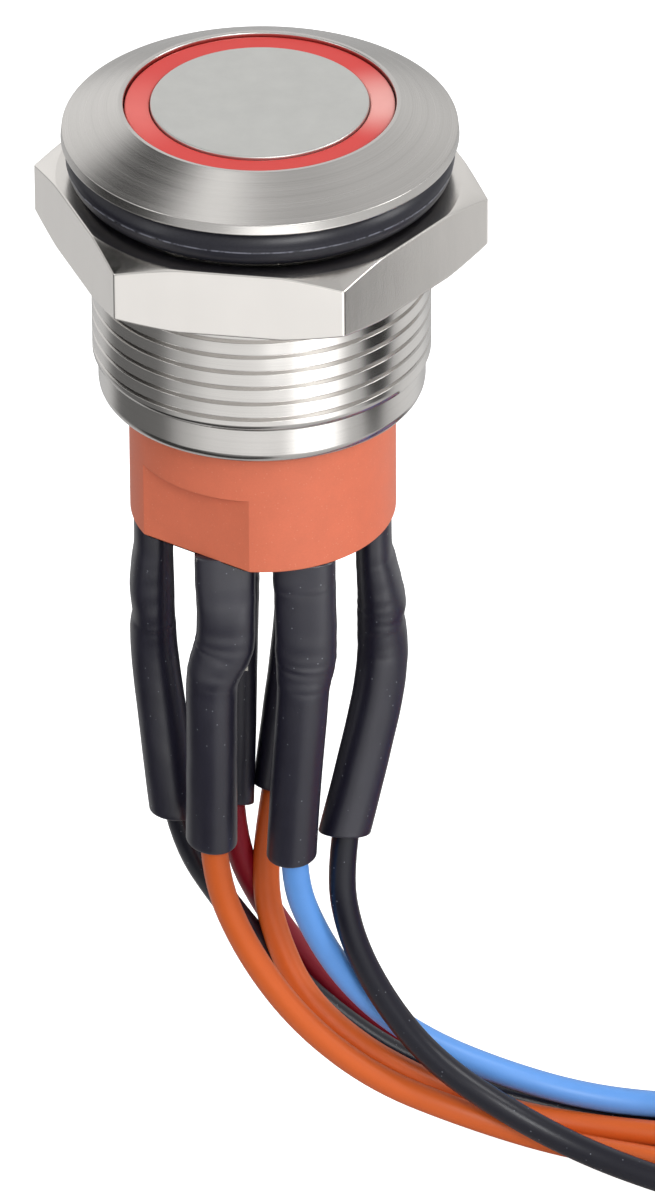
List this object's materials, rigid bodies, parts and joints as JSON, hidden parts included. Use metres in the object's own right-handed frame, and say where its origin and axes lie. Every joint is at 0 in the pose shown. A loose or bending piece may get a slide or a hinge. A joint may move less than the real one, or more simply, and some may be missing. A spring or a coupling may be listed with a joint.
{
  "type": "anti vandal push button",
  "caption": "Prewired vandal-resistant push button: stainless bezel with a red light ring round a steel cap, threaded barrel with hex nut, orange base and sleeved leads.",
  "frame": {"origin": "on the button's axis, in the plane of the bezel's underside, where the switch seats on its panel", "axes": "+Z out of the panel towards the finger, -Y towards the viewer of the picture, +X towards the side where the leads leave"},
  "size_m": [0.0751, 0.038, 0.068],
  "materials": {
    "bezel_steel": "fine turned stainless steel",
    "cap_steel": "satin stainless steel",
    "seal_rubber": "satin black nitrile rubber",
    "nut_plate": "bright nickel plate",
    "ring_red": "translucent red, satin",
    "base_orange": "moulded salmon orange, matt with fine specks",
    "plunger_white": "natural acetal",
    "spring_steel": "bright spring steel",
    "board_white": "white solder mask",
    "chip_yellow": "clear over phosphor",
    "bead_black": "cast epoxy",
    "terminal_brass": "tinned brass",
    "contact_silver": "silver alloy",
    "bridge_copper": "plain copper alloy",
    "sleeve_black": "heat-shrunk black tube, satin with dust",
    "wire_orange": "satin orange insulation",
    "wire_blue": "satin light blue insulation",
    "wire_black": "satin black insulation",
    "wire_red": "satin dark red insulation",
    "tie_black": "black nylon"
  },
  "bodies": {
    "switch": {"switch_body": "bezel_steel", "o_ring": "seal_rubber", "lamp_board": "board_white", "lamp_chips": "chip_yellow", "lamp_pin_beads": "bead_black", "switch_housing": "base_orange", "fixed_contacts": "contact_silver", "return_spring": "spring_steel", "lead_coil": "wire_black", "coil_tie": "tie_black", "terminal_front_left": "terminal_brass", "sleeve_front_left": "sleeve_black", "wire_front_left": "wire_orange", "terminal_back_right": "terminal_brass", "sleeve_back_right": "sleeve_black", "wire_back_right": "wire_orange", "terminal_front_right": "terminal_brass", "sleeve_front_right": "sleeve_black", "wire_front_right": "wire_blue", "terminal_right": "terminal_brass", "sleeve_right": "sleeve_black", "wire_right": "wire_black", "terminal_left": "terminal_brass", "sleeve_left": "sleeve_black", "wire_left": "wire_black", "terminal_back_left": "terminal_brass", "sleeve_back_left": "sleeve_black", "wire_back_left": "wire_red"},
    "actuator": {"actuator_cap": "cap_steel", "light_ring": "ring_red", "plunger": "plunger_white", "plunger_seal": "seal_rubber", "retaining_clip": "spring_steel", "spindle_clip": "spring_steel", "closed_contact_bridge": "bridge_copper", "open_contact_bridge": "bridge_copper", "bridge_contacts": "contact_silver", "contact_spring": "spring_steel"},
    "nut": {"hex_nut": "nut_plate"}
  },
  "joints": [
    {"name": "button_press", "type": "slide", "parent": "switch", "child": "actuator", "axis": [0, 0, 1], "range_m": [-0.0015, 0], "stiffness_N_per_m": 800, "springref_m": 0.002, "deforming": ["return_spring"]},
    {"name": "nut_travel", "type": "slide", "parent": "switch", "child": "nut", "axis": [0, 0, 1], "range_m": [-0.0068, 0]}
  ]
}
